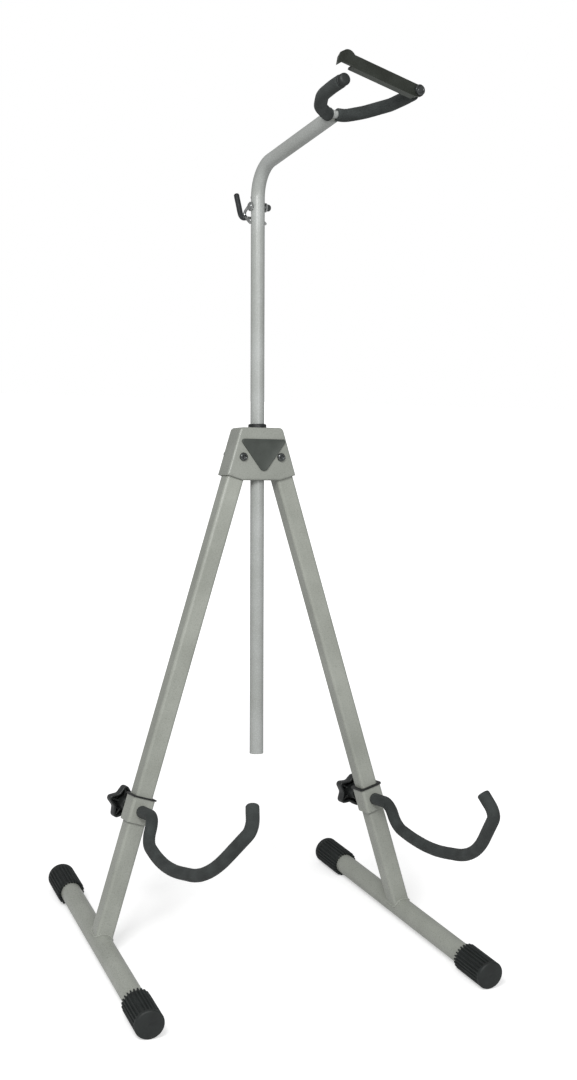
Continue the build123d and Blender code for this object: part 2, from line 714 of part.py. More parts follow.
# ---------------------------------------------------------------- sliding clamps, liners and hooks
liner_inner = leg_side + 2 * slide_gap
liner_outer = liner_inner + 2 * liner_wall
clamp_inner = liner_outer + 2 * liner_gap
clamp_outer = clamp_inner + 2 * clamp_wall
stud_bore = stud_diameter + 2 * fit_gap
for name, side in sides:
    frame = clamp_frame(side)
    rear = within(frame, (0, clamp_outer / 2, 0), (1, 0, 0), (0, 1, 0))
    front = within(frame, (0, -clamp_outer / 2, 0), (1, 0, 0), (0, -1, 0))
    with BuildPart() as clamp:
        with BuildSketch(frame.offset(-clamp_length / 2)):
            RectangleRounded(clamp_outer, clamp_outer, leg_corner)
        extrude(amount=clamp_length)
        with BuildSketch(rear):
            Circle(boss_diameter / 2)
        extrude(amount=boss_length)
        with BuildSketch(frame.offset(-clamp_length / 2)):
            RectangleRounded(clamp_inner, clamp_inner, leg_corner - clamp_wall)
        extrude(amount=clamp_length, mode=Mode.SUBTRACT)
        with BuildSketch(rear.offset(boss_length)):
            Circle(stud_bore / 2)
        extrude(amount=-boss_length - 2 * clamp_wall, mode=Mode.SUBTRACT)
        with BuildSketch(front):
            Circle(hook_rod_diameter / 2 + fit_gap)
        extrude(amount=-2 * clamp_wall, mode=Mode.SUBTRACT)
    finish(clamp, f"clamp_{name}")

    with BuildPart() as liner:
        with BuildSketch(frame.offset(-clamp_length / 2)):
            RectangleRounded(liner_outer, liner_outer, leg_corner - clamp_wall - liner_gap)
        extrude(amount=clamp_length)
        with BuildSketch(frame.offset(clamp_length / 2)):
            RectangleRounded(clamp_outer + 2 * liner_flange, clamp_outer + 2 * liner_flange, leg_corner)
        extrude(amount=liner_flange_thickness)
        with BuildSketch(frame.offset(-clamp_length / 2)):
            RectangleRounded(liner_inner, liner_inner, leg_corner + slide_gap)
        extrude(amount=clamp_length + liner_flange_thickness, mode=Mode.SUBTRACT)
        with BuildSketch(rear):
            Circle(stud_bore / 2 + 0.5)
        extrude(amount=-clamp_outer / 2, mode=Mode.SUBTRACT)
    finish(liner, f"clamp_liner_{name}")

    seat_y = clamp_outer / 2 + boss_length + knob_standoff
    knob_seat = within(frame, (0, seat_y, 0), (1, 0, 0), (0, 1, 0))
    make_knob(knob_seat, f"clamp_knob_{name}")
    make_stud(knob_seat, seat_y - leg_side / 2 - face_gap, f"clamp_stud_{name}")

    # hook: x forward from the leg axis, y up the leg
    hook_plane = within(frame, (0, 0, 0), (0, -1, 0), (-1, 0, 0))

    def hook_path(start, tip_cut):
        """Corners of the hook from the clamp to its tip."""
        hook_tip = (hook_reach - 16.0 + tip_cut * 0.58, hook_tip_rise - tip_cut * 0.815)
        return [
            (start, 0),
            (hook_neck, 1.0),
            (hook_neck + 4.0, -hook_drop),
            (0.464 * hook_reach, -hook_belly),
            (0.75 * hook_reach, -0.68 * hook_belly),
            (hook_reach + 1.5, 0.62 * hook_tip_rise),
            hook_tip,
        ]

    hook_radii = [15.0, 22.0, 200.0, 80.0, 22.0]
    with BuildPart() as hook:
        with BuildLine(hook_plane) as rod_path:
            FilletPolyline(*hook_path(clamp_inner / 2 + liner_gap, foam_wall + 1.0), radius=hook_radii)
        with BuildSketch(Plane(origin=rod_path.wires()[0] @ 0, z_dir=rod_path.wires()[0] % 0)):
            Circle(hook_rod_diameter / 2)
        sweep(path=rod_path.wires()[0])
    finish(hook, f"hook_rod_{name}")

    with BuildPart() as pad:
        with BuildLine(hook_plane) as pad_path:
            FilletPolyline(*hook_path(clamp_outer / 2 + foam_gap, 0), radius=hook_radii)
        with BuildSketch(Plane(origin=pad_path.wires()[0] @ 0, z_dir=pad_path.wires()[0] % 0)):
            Circle(hook_rod_diameter / 2 + foam_gap + foam_wall)
        sweep(path=pad_path.wires()[0])
        with BuildLine(hook_plane) as bore_path:
            FilletPolyline(*hook_path(clamp_outer / 2 + foam_gap, foam_wall + 0.5), radius=hook_radii)
        with BuildSketch(Plane(origin=bore_path.wires()[0] @ 0, z_dir=bore_path.wires()[0] % 0)):
            Circle(hook_rod_diameter / 2 + foam_gap)
        sweep(path=bore_path.wires()[0], mode=Mode.SUBTRACT)
    finish(pad, f"hook_foam_{name}")

# ---------------------------------------------------------------- origin at the centre of the footprint, on the floor
box = Compound(children=[copy_of for copy_of in finished]).bounding_box()
to_origin = Location((-box.center().X, -box.center().Y, -box.min.Z))
for piece in finished:
    piece.parent = None
    placed = to_origin * piece
    placed.label = piece.label
    export_step(placed, f"parts/{piece.label}.step")
print("pieces", len(finished), "origin shift", to_origin.position)
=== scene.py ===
"""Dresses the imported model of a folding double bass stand: finishes, foam, rubber and welds."""

import json
from math import atan, ceil, cos, hypot, pi, radians, sin, tan

import bpy
from bpy.props import FloatProperty, IntProperty, PointerProperty, StringProperty
from mathutils import Matrix, Vector, noise


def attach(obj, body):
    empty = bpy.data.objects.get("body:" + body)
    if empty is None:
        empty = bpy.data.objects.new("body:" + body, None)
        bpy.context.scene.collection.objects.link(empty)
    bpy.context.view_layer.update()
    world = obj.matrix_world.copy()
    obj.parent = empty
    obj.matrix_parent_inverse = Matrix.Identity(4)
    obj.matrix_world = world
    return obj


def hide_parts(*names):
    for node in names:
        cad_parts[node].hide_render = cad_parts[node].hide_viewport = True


bl_info = {
    "name": "Double Bass Stand",
    "version": (1, 0, 0),
    "blender": (4, 5, 0),
    "location": "3D View > Sidebar > Stand",
    "description": "Finishes and fine detail for a folding double bass stand",
    "category": "Object",
}

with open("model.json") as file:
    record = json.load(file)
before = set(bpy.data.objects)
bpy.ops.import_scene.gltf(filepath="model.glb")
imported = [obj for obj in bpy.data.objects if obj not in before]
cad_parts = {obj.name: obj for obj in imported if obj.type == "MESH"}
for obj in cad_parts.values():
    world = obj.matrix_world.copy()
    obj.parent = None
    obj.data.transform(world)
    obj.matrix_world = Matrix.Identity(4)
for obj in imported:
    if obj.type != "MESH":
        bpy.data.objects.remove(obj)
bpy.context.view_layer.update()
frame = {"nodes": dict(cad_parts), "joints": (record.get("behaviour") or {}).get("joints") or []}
JOINTS = {joint["name"]: joint for joint in frame["joints"]}
MM = 0.001
SIDES = (("left", -1), ("right", 1))

# ---------------------------------------------------------------- sizes of the solids, in mm
LEAN = radians(10.6)  # the whole A-frame from upright
SPREAD = radians(17.1)  # each leg from the mast
PIVOT_SPAN = 28.0  # leg pivot from the mast's axis
LEG_LENGTH = 673.0  # leg pivot to the axis of the foot tube
LEG_SIDE = 25.0
LEG_CORNER = 4.0
FOOT_SEAM = 14.4  # the leg's weld from the foot tube's axis
FOOT_ENDS = (("front", 231.0, -1), ("rear", 218.0, 1))  # leg to the cap's end, and its heading
CAP_RADIUS = 19.2
CAP_LENGTH = 62.0
CAP_BORE = 14.5
PIVOT_HEIGHT = CAP_RADIUS / cos(LEAN) + LEG_LENGTH * cos(SPREAD)
HOUSING_FACE = 17.0  # leg pivots to the front face of the housing
CLAMP_OUTER = 31.2
CLAMP_DROP = {-1: 494.0, 1: 504.0}  # leg pivot to the clamp's centre, down each leg

MAST_RADIUS = 9.5
MAST_BORE = 8.0
MAST_TURN = radians(3)
MAST_TAIL = 255.0  # open lower end
MAST_CORNER = 1055.0  # where the arm's axis meets the mast's
MAST_BEND = 45.0
ARM_RISE = radians(8.7)
ARM_REACH = 210.0  # mast axis to the yoke rod
YOKE_RISE = radians(6)
YOKE_HEIGHT = MAST_CORNER + ARM_REACH * tan(ARM_RISE)
YOKE_ARMS = {
    "left": ((-16.0, 0.0), (-32.0, 20.0), (-48.2, 55.0), (-53.4, 88.0), (-51.5, 118.5)),
    "right": ((16.0, 0.0), (32.0, 20.0), (48.2, 55.0), (51.8, 82.0), (53.5, 117.0)),
}

# ---------------------------------------------------------------- sizes of the finer detail, in mm
ARM_GAP = 6.0  # end of the mast's arm to the axis of the yoke rod
TAIL_DEPTH = 90.0  # how far up the mast's bore is drawn
SLEEVE_LINES = {
    # the left sleeve runs on past the rod's first bend and ends in a flared cut beside the arm
    "left": ((-6.0, -2.6), (-10.5, -0.9), (-31.5, 20.0), (-49.0, 57.0), (-52.0, 88.0)),
    "right": ((3.0, 0.0), *YOKE_ARMS["right"][:-1]),
}
SLEEVE_CORNERS = {"left": [8.0, 40.0, 60.0, 60.0], "right": [10.0, 26.0, 38.0, 60.0]}
SLEEVE_STOP = {"left": 10.1, "right": 15.5}  # end of the sleeve from the tip of its arm
SLEEVE_FLARE = {"left": 0.8, "right": 0.0}
# the hook's sleeve takes a fuller curve than its rod and stays within 3.1 mm of the rod's centre
HOOK_NECK = ((60.0, 1.0), (64.0, -33.0))
HOOK_CRADLE = ((139.3, -51.1), (269.6, -34.6), (353.0, 41.4), (335.0, 66.0))
HOOK_CORNERS = [15.0, 22.0, 286.6, 157.1, 15.0]
FOAM_SWELL = ((0.16, 16), (0.09, 4.5), (0.05, 1.7))  # height and size of the skin's unevenness
PUCKER_PITCH = 4.2
PRONG = ((42.0, 1027.5), (26.5, 992.0), (13.5, 982.0 + 14.08 * 13.5 / 22))  # bow holder, y and z
PRONG_ACROSS = {-1: -12.2, 1: 13.6}
VINYL_RADIUS = 3.8
LOBES = 5
LOBE_REACH = 1.18  # corner of a lobe before it is rounded, as a share of the knob's radius
STAR_VALLEY = 16.0
BADGE_CORNERS = ((-33.8, 24.6, 0), (2.2, -23.7, 0), (36.8, 24.3, 0))
BADGE_RADII = [7.0, 3.0, 3.4]


def within(base, origin, x_axis, z_axis):
    """A frame inside another one; its origin is in mm and its y is z cross x."""
    x_axis, z_axis = Vector(x_axis).normalized(), Vector(z_axis).normalized()
    turned = Matrix((x_axis, z_axis.cross(x_axis), z_axis)).transposed().to_4x4()
    return base @ Matrix.Translation(Vector(origin) * MM) @ turned


PIVOT = Vector(JOINTS["leg_left_fold"]["pos_m"])
FLOOR_POINT = (0.0, (PIVOT.y - PIVOT_HEIGHT * MM * sin(LEAN)) / MM, 0.0)
STAND = within(Matrix.Identity(4), FLOOR_POINT, (1, 0, 0), (0, sin(LEAN), cos(LEAN)))
MAST = within(STAND, (0, 0, 0), (cos(MAST_TURN), sin(MAST_TURN), 0), (0, 0, 1))
YOKE_AXIS = (0, -sin(YOKE_RISE), -cos(YOKE_RISE))
YOKE = within(MAST, (0, -ARM_REACH, YOKE_HEIGHT), (1, 0, 0), YOKE_AXIS)


def leg_frame(side):
    """Leg pivot; z runs up the leg."""
    pivot = (side * PIVOT_SPAN, 0, PIVOT_HEIGHT)
    x_axis = (cos(SPREAD), 0, side * sin(SPREAD))
    return within(STAND, pivot, x_axis, (-side * sin(SPREAD), 0, cos(SPREAD)))


def foot_frame(side):
    """Foot of the leg; z runs to the rear along the foot tube."""
    pitch = atan(tan(LEAN) / cos(SPREAD))
    return within(leg_frame(side), (0, 0, -LEG_LENGTH), (1, 0, 0), (0, cos(pitch), sin(pitch)))


def clamp_frame(side):
    """Centre of a sliding clamp, in line with its leg."""
    return within(leg_frame(side), (0, 0, -CLAMP_DROP[side]), (1, 0, 0), (0, 0, 1))


def knob_seat(joint, clamped):
    """Where a knob is screwed in; z runs out along its stud, square to the frame it clamps."""
    outward = within(Matrix.Identity(4), (0, 0, 0), (1, 0, 0), (0, 1, 0))
    centre = Vector(JOINTS[joint]["pos_m"])
    return Matrix.Translation(centre) @ (clamped.to_3x3().to_4x4()) @ outward


def arm_end(name):
    """Tip of a yoke arm, and the direction in which it points."""
    wrist, tip = (Vector((x, y, 0)) for x, y in YOKE_ARMS[name][-2:])
    return tip, (tip - wrist).normalized()


def arm_seat(name, back):
    """A frame on a yoke arm, a few mm back from its tip; z runs out along the arm."""
    tip, heading = arm_end(name)
    return within(YOKE, tip - heading * back, (heading.y, -heading.x, 0), heading)


# ---------------------------------------------------------------- mesh work


def new_piece(name, body, vertices, faces, material, sharp=40.0):
    """A mesh piece that rides on a body; vertices are in metres in the model's frame."""
    mesh = bpy.data.meshes.new(name)
    mesh.from_pydata([tuple(v) for v in vertices], [], faces)
    mesh.validate()
    mesh.shade_smooth()
    mesh.set_sharp_from_angle(angle=radians(sharp))
    mesh.materials.append(material)
    piece = bpy.data.objects.new(name, mesh)
    bpy.context.scene.collection.objects.link(piece)
    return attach(piece, body)


def polar(base, radius, angle, height):
    """A point round z of a frame, from sizes in mm."""
    return base @ (Vector((radius * cos(angle), radius * sin(angle), height)) * MM)


def skin(rings, close_start=True, close_end=True, loop=False):
    """Vertices and faces over a run of equal rings, with a fan over each closed end."""
    count = len(rings[0])
    vertices = [point for ring in rings for point in ring]
    faces = []
    for row in range(len(rings) if loop else len(rings) - 1):
        low, high = row * count, (row + 1) % len(rings) * count
        for i in range(count):
            j = (i + 1) % count
            faces.append((low + i, low + j, high + j, high + i))
    last = (len(rings) - 1) * count
    for closed, start, turned in ((close_start, 0, True), (close_end, last, False)):
        if closed and not loop:
            middle = sum((Vector(vertices[start + i]) for i in range(count)), Vector()) / count
            vertices.append(middle)
            for i in range(count):
                j = (i + 1) % count
                face = (start + i, start + j, len(vertices) - 1)
                faces.append(face[::-1] if turned else face)
    return vertices, faces


def join(parts):
    """Vertices and faces of several skins in one."""
    vertices, faces = [], []
    for more_vertices, more_faces in parts:
        start = len(vertices)
        vertices += more_vertices
        faces += [tuple(start + i for i in face) for face in more_faces]
    return vertices, faces


def lathe(base, profile, segments=48, **ends):
    """Rings turned about z of a frame from (radius, height) pairs in mm."""
    turns = [2 * pi * i / segments for i in range(segments)]
    return skin([[polar(base, r, turn, z) for turn in turns] for r, z in profile], **ends)


def rounded(corners, radii, step=2.0, loop=False):
    """Points along a run of straight pieces whose corners are turned on arcs."""
    corners = [Vector(c) for c in corners]
    count = len(corners)
    points = []
    for i, corner in enumerate(corners):
        if not loop and i in (0, count - 1):
            points.append(corner)
            continue
        radius = radii if isinstance(radii, float) else radii[i - 1]
        before = (corners[i - 1] - corner).normalized()
        after = (corners[(i + 1) % count] - corner).normalized()
        half = before.angle(after) / 2
        reach = radius / tan(half)
        centre = corner + (before + after).normalized() * (radius / sin(half))
        start, end = corner + before * reach, corner + after * reach
        sweep = pi - 2 * half
        steps = max(3, ceil(radius * sweep / step))
        a, b = start - centre, end - centre
        for k in range(steps + 1):
            t = k / steps
            points.append(centre + (a * sin((1 - t) * sweep) + b * sin(t * sweep)) / sin(sweep))
    return points


def resample(points, step, loop=False):
    """The same line with points an even distance apart."""
    points = [Vector(p) for p in points] + ([Vector(points[0])] if loop else [])
    lengths = [0.0]
    for a, b in zip(points, points[1:]):
        lengths.append(lengths[-1] + (b - a).length)
    count = max(2, round(lengths[-1] / step))
    out, j = [], 0
    for k in range(count if loop else count + 1):
        s = lengths[-1] * k / count
        while j < len(points) - 2 and lengths[j + 1] < s:
            j += 1
        span = lengths[j + 1] - lengths[j]
        out.append(points[j].lerp(points[j + 1], (s - lengths[j]) / span if span else 0.0))
    return out


def sweep_rings(line, radius, segments=32, loop=False):
    """Rings along a line in metres.

    radius(place, angle, inward) gives mm, where inward is above 0 on the inside of a bend.
    """
    count = len(line)
    tangents = []
    for i in range(count):
        a = line[(i - 1) % count] if loop or i else line[0]
        b = line[(i + 1) % count] if loop or i < count - 1 else line[-1]
        tangents.append((b - a).normalized())
    side = tangents[0].orthogonal().normalized()
    rings, along = [], 0.0
    for i, (point, tangent) in enumerate(zip(line, tangents)):
        side = (side - tangent * side.dot(tangent)).normalized()
        up = tangent.cross(side)
        if i:
            along += (point - line[i - 1]).length / MM
        curve = tangents[min(i + 1, count - 1)] - tangents[max(i - 1, 0)]
        ring = []
        for k in range(segments):
            angle = 2 * pi * k / segments
            out = side * cos(angle) + up * sin(angle)
            ring.append(point + out * radius(along, angle, out.dot(curve)) * MM)
        rings.append(ring)
    return rings


def line_length(line):
    """Length in mm of an evenly spaced line in metres."""
    return (len(line) - 1) * (line[1] - line[0]).length / MM


def grain(point, size):
    """Smooth random value from -1 to 1 that changes over a size in mm."""
    return noise.noise(Vector(point) / (size * MM))


# ---------------------------------------------------------------- finishes


def paint(hex_code):
    """An sRGB hex value as linear colour."""
    values = [int(hex_code[i : i + 2], 16) / 255 for i in (1, 3, 5)]
    return [v / 12.92 if v <= 0.04045 else ((v + 0.055) / 1.055) ** 2.4 for v in values] + [1.0]


def add(tree, kind, feeds=None, **settings):
    """One node with its settings; each feed is a value or another node's output."""
    node = tree.nodes.new(kind)
    for key, value in settings.items():
        setattr(node, key, value)
    for key, value in (feeds or {}).items():
        if isinstance(value, bpy.types.NodeSocket):
            tree.links.new(value, node.inputs[key])
        else:
            node.inputs[key].default_value = value
    return node


def finish_of(
    name,
    dark,
    light,
    patch,
    speck,
    rough,
    bump,
    edge=None,
    edge_size=0.0,
    painted_edge_share=0.35,
    under=None,
    **shader,
):
    """A material whose tone drifts between two colours, with its own grain and softened edges.

    patch and speck are pattern sizes in mm, bump is the height of the grain in mm, and edge is a
    colour painted along edges, at most at the share given for it: a painted highlight where it is
    paler than the finish, painted shade where it is darker. under is a colour painted on faces that
    look down, as painted light from below. shader holds sockets that are the same all over.
    """
    material = bpy.data.materials.new(name)
    material.use_nodes = True
    tree = material.node_tree
    tree.nodes.clear()
    place = add(tree, "ShaderNodeTexCoord").outputs["Object"]
    drift = add(
        tree,
        "ShaderNodeTexNoise",
        {"Vector": place, "Scale": 1000 / patch, "Detail": 2.0, "Roughness": 0.5},
    )
    fine = add(
        tree,
        "ShaderNodeTexNoise",
        {"Vector": place, "Scale": 1000 / speck, "Detail": 3.0, "Roughness": 0.6},
    )
    # the two patterns add up to values round 1
    feeds = {0: drift.outputs["Fac"], 1: fine.outputs["Fac"]}
    blend = add(tree, "ShaderNodeMath", feeds, operation="ADD")
    feeds = {"Value": blend.outputs[0], "From Min": 0.72, "From Max": 1.28}
    tone = add(tree, "ShaderNodeMapRange", feeds)
    feeds = {"Factor": tone.outputs[0], 6: paint(dark), 7: paint(light)}
    colour = add(tree, "ShaderNodeMix", feeds, data_type="RGBA").outputs[2]
    soft = None
    if edge_size:
        soft = add(tree, "ShaderNodeBevel", {"Radius": edge_size * MM}, samples=6)
    if edge:
        # an edge is where the softened normal turns away from the true one; the edge colour painted
        # there is a painted highlight when paler than the finish, painted shade when darker
        true = add(tree, "ShaderNodeNewGeometry").outputs["Normal"]
        feeds = {0: soft.outputs[0], 1: true}
        match = add(tree, "ShaderNodeVectorMath", feeds, operation="DOT_PRODUCT").outputs["Value"]
        feeds = {"Value": match, "From Min": 0.995, "From Max": 0.80, "To Max": painted_edge_share}
        painted_edge = add(tree, "ShaderNodeMapRange", feeds)
        feeds = {"Factor": painted_edge.outputs[0], 6: colour, 7: paint(edge)}
        colour = add(tree, "ShaderNodeMix", feeds, data_type="RGBA").outputs[2]
    # faces that look down take the under colour as painted light from below
    if under:
        turned = add(tree, "ShaderNodeTexCoord").outputs["Normal"]
        feeds = {0: turned, 1: (0.0, 0.0, -1.0)}
        down = add(tree, "ShaderNodeVectorMath", feeds, operation="DOT_PRODUCT").outputs["Value"]
        feeds = {"Value": down, "From Min": 0.5, "From Max": 0.8}
        painted_underlight = add(tree, "ShaderNodeMapRange", feeds)
        feeds = {"Factor": painted_underlight.outputs[0], 6: colour, 7: paint(under)}
        colour = add(tree, "ShaderNodeMix", feeds, data_type="RGBA").outputs[2]
    low, high = rough
    gloss = add(
        tree,
        "ShaderNodeMapRange",
        {
            "Value": fine.outputs["Fac"],
            "From Min": 0.3,
            "From Max": 0.7,
            "To Min": low,
            "To Max": high,
        },
    )
    feeds = {"Height": fine.outputs["Fac"], "Strength": 1.0, "Distance": bump * MM}
    relief = add(tree, "ShaderNodeBump", feeds)
    if soft:
        tree.links.new(soft.outputs[0], relief.inputs["Normal"])
    feeds = {"Base Color": colour, "Roughness": gloss.outputs[0], "Normal": relief.outputs[0]}
    surface = add(tree, "ShaderNodeBsdfPrincipled", {**feeds, **shader})
    out = add(tree, "ShaderNodeOutputMaterial")
    tree.links.new(surface.outputs[0], out.inputs["Surface"])
    return material


def powder(settings, name, dark, light, rough=(0.25, 0.34), painted_edge_share=0.55):
    """Polyester powder baked on steel: satin, faint orange peel, a painted highlight along its
    edges.
    """
    # the real peel is about 0.9 mm across and is drawn at 1.5 mm so that it shows
    return finish_of(
        name, dark, light,
        patch=55.0, speck=1.5, rough=rough, bump=0.012, edge=settings.coat_edge_highlight, edge_size=0.7,
        painted_edge_share=painted_edge_share,
    )


def coated_steel(settings):
    """Powder-coated square and round tube: an even satin grey."""
    return powder(settings, "powder_coated_tube", settings.coat_dark, settings.coat_light)


def shaded_shell_coat(settings):
    """Powder-coated pressing: the same grey painted a shade deeper, as painted shade over the
    housing.
    """
    return powder(settings, "powder_coated_sheet", settings.shell_dark, settings.shell_light)


def lit_mast_coat(settings):
    """Powder-coated sliding tube: a shade paler as painted light, and polished by the bush it runs
    in.
    """
    dark, light = settings.mast_dark, settings.mast_light
    return powder(settings, "polished_powder_coat", dark, light, rough=(0.22, 0.3), painted_edge_share=0.4)


def moulded_rubber(settings):
    """Compression-moulded SBR rubber: dull charcoal with a grey bloom, a pebbled skin and a painted
    highlight on its edges.
    """
    # the pebble is about 0.3 mm and is drawn at 0.8 mm so that it shows
    return finish_of(
        "moulded_rubber", "#151918", "#242928",
        patch=14.0, speck=0.8, rough=(0.5, 0.64), bump=0.02, edge="#414645", edge_size=0.3,
    )


def foam_rubber(settings):
    """Extruded closed-cell NBR foam: matt charcoal with open cut cells and a dusty sheen."""
    # cells are about 0.4 mm and are drawn at 1.1 mm so that they show
    return finish_of(
        "closed_cell_foam", settings.foam_dark, settings.foam_light,
        patch=22.0, speck=1.1, rough=(0.82, 0.95), bump=0.10,
        **{"Sheen Weight": 0.02, "Sheen Roughness": 0.6},
    )


def moulded_nylon(settings):
    """Injection-moulded glass-filled nylon: near black, satin, light catching its rims."""
    # the glass shows as specks of about 0.2 mm, drawn at 0.7 mm so that they show
    return finish_of(
        "moulded_nylon", "#1b1d1d", "#272a29",
        patch=20.0, speck=0.7, rough=(0.36, 0.5), bump=0.012, edge="#636867", edge_size=0.5,
    )


def liner_polythene(settings):
    """Injection-moulded polythene: soft black with a waxy, even surface."""
    return finish_of(
        "moulded_polythene", "#101212", "#191b1b",
        patch=12.0, speck=1.0, rough=(0.42, 0.55), bump=0.01,
    )


def sprung_vinyl(settings):
    """Dipped PVC over wire: black, soft gloss, slightly uneven wall."""
    return finish_of(
        "dipped_vinyl", "#1c1e1f", "#2d3031",
        patch=6.0, speck=1.6, rough=(0.34, 0.46), bump=0.02,
    )


def black_steel(settings):
    """Pressed sheet steel, black zinc: dark green-grey, paler under its lip as painted light, with
    a painted highlight on its edges.
    """
    # the sheet's grain is about 0.3 mm and is drawn at 1.2 mm so that it shows
    return finish_of(
        "black_zinc_steel", settings.bar_dark, settings.bar_light,
        patch=26.0, speck=1.2, rough=(0.38, 0.52), bump=0.015, edge="#7b807c", edge_size=0.6,
        painted_edge_share=0.5, under="#555954", Metallic=0.35,
    )


def oxide_bolt(settings):
    """Turned steel screws with black oxide: near black metal with a bright painted highlight on the
    rims.
    """
    # turning marks are about 0.15 mm apart, drawn as a grain of 0.6 mm so that they show
    return finish_of(
        "black_oxide_steel", "#464949", "#616464",
        patch=9.0, speck=0.6, rough=(0.16, 0.27), bump=0.006, edge="#b4b6b2", edge_size=0.35,
        Metallic=0.75,
    )


def bright_zinc(settings):
    """Zinc-plated steel hardware: pale grey metal with a soft broken shine."""
    # the plating's grain is about 0.1 mm and is drawn at 0.5 mm so that it shows
    return finish_of(
        "bright_zinc_steel", "#9a9c9c", "#c3c5c4",
        patch=7.0, speck=0.5, rough=(0.24, 0.4), bump=0.006, Metallic=0.9,
    )


def plate_plastic(settings):
    """Injection-moulded ABS badge plate, left plain: slate grey, fine spark-eroded texture, painted
    shade on its rim.
    """
    # the texture is about 0.3 mm and is drawn at 0.7 mm so that it shows
    return finish_of(
        "textured_abs", "#393d39", "#464b46",
        patch=18.0, speck=0.7, rough=(0.42, 0.52), bump=0.012, edge="#232622", edge_size=0.8,
        painted_edge_share=0.6,
    )


MATERIALS = {}


def shared(maker):
    """The one material that a maker makes, made the first time that it is asked for."""
    if maker.__name__ not in MATERIALS:
        MATERIALS[maker.__name__] = maker(bpy.context.scene.stand_finish)
    return MATERIALS[maker.__name__]


def dress(nodes, maker):
    """Gives CAD nodes a material in place of the plain one they came with."""
    for node in nodes:
        slots = frame["nodes"][node].data.materials
        slots.clear()
        slots.append(shared(maker))


# ---------------------------------------------------------------- pieces


def stud(name, body, seat, inward, outward, node):
    """A threaded stud along z of its seat, from inside the boss to inside the knob."""
    radius, depth, pitch, segments = 4.0, 0.5, 1.25, 24
    lead_in, relief, row = 1.5, 0.7, 0.21
    rings, height = [], -inward
    while height <= outward:
        fade = min(1.0, (height + inward) / lead_in)
        ring = []
        for i in range(segments):
            phase = (height / pitch - i / segments) % 1.0
            r = radius - depth * abs(2 * phase - 1) - relief * (1 - fade)
            ring.append(polar(seat, r, 2 * pi * i / segments, height))
        rings.append(ring)
        height += row
    piece = new_piece(name, body, *skin(rings), shared(bright_zinc), sharp=80)
    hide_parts(node)


def star_outline(turn, radius):
    """The star's outline in mm: rounded lobes with shallow valleys."""
    corners = []
    for lobe in range(LOBES):
        angle = 2 * pi * lobe / LOBES + turn
        reach = radius * LOBE_REACH
        corners.append((reach * cos(angle), reach * sin(angle), 0))
        angle += pi / LOBES
        corners.append((STAR_VALLEY * cos(angle), STAR_VALLEY * sin(angle), 0))
    return resample(rounded(corners, 5.0, step=0.6, loop=True), 1.15, loop=True)


# inset from the star's outline and height above the seat: hollow, lip, rim and top
STAR_ROWS = (
    (8.5, 27.5),
    (4.2, 27.5),
    (3.3, 26.5),
    (2.9, 17.2),
    (2.5, 16.3),
    (1.7, 16.0),
    (0.9, 16.1),
    (0.2, 16.7),
    (0.0, 17.6),
    (0.0, 29.0),
    (0.3, 30.4),
    (1.1, 31.5),
    (2.3, 32.0),
    (4.5, 31.8),
    (8.0, 31.2),
)
STAR_HUB = ((4.1, 0.6), (4.6, 0.0), (9.2, 0.0), (9.8, 0.6), (9.9, 16.0), (10.0, 27.6))
# distance from the hub's axis, half width, and lower and upper height of each end of a rib
STAR_RIB = ((9.4, 1.0, 19.5, 27.6), (19.6, 0.8, 18.5, 27.6))


def star_knob(name, body, seat, node, turn, radius):
    """Star knob, hollow on the side that faces the clamp, with a ribbed hub round its stud."""
    outline = star_outline(turn, radius)
    count = len(outline)
    normals = []
    for i in range(count):
        along = (outline[(i + 1) % count] - outline[i - 1]).normalized()
        normals.append(Vector((along.y, -along.x, 0)))
    rings = []
    for inset, height in STAR_ROWS:
        lift = Vector((0, 0, height))
        rings.append([seat @ ((p - n * inset + lift) * MM) for p, n in zip(outline, normals)])
    parts = [skin(rings), lathe(seat, STAR_HUB, close_start=False, close_end=False)]
    for lobe in range(LOBES):
        angle = 2 * pi * lobe / LOBES + turn
        along, across = Vector((cos(angle), sin(angle), 0)), Vector((-sin(angle), cos(angle), 0))
        rib = []
        for r, half, low, high in STAR_RIB:
            ring = ((-half, low), (half, low), (half, high), (-half, high))
            spots = [along * r + across * w + Vector((0, 0, h)) for w, h in ring]
            rib.append([seat @ (spot * MM) for spot in spots])
        parts.append(skin(rib))
    piece = new_piece(name, body, *join(parts), shared(moulded_nylon), sharp=32)
    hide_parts(node)


# radius and height of the cap's smooth closed end
CAP_END = (
    (CAP_RADIUS, 59.4),
    (CAP_RADIUS - 0.35, 60.5),
    (CAP_RADIUS - 1.1, 61.4),
    (CAP_RADIUS - 2.2, 61.8),
    (14.0, 61.95),
    (9.0, 62.0),
    (4.2, 62.0),
    (3.0, 61.7),
    (1.6, 61.1),
)
CAP_ROWS = (0.0, 0.5, 1.4, 3.0, 6.0, 12.0, 22.0, 32.0, 42.0, 49.0, 53.0, 54.5, 55.5, 56.5, 57.5)


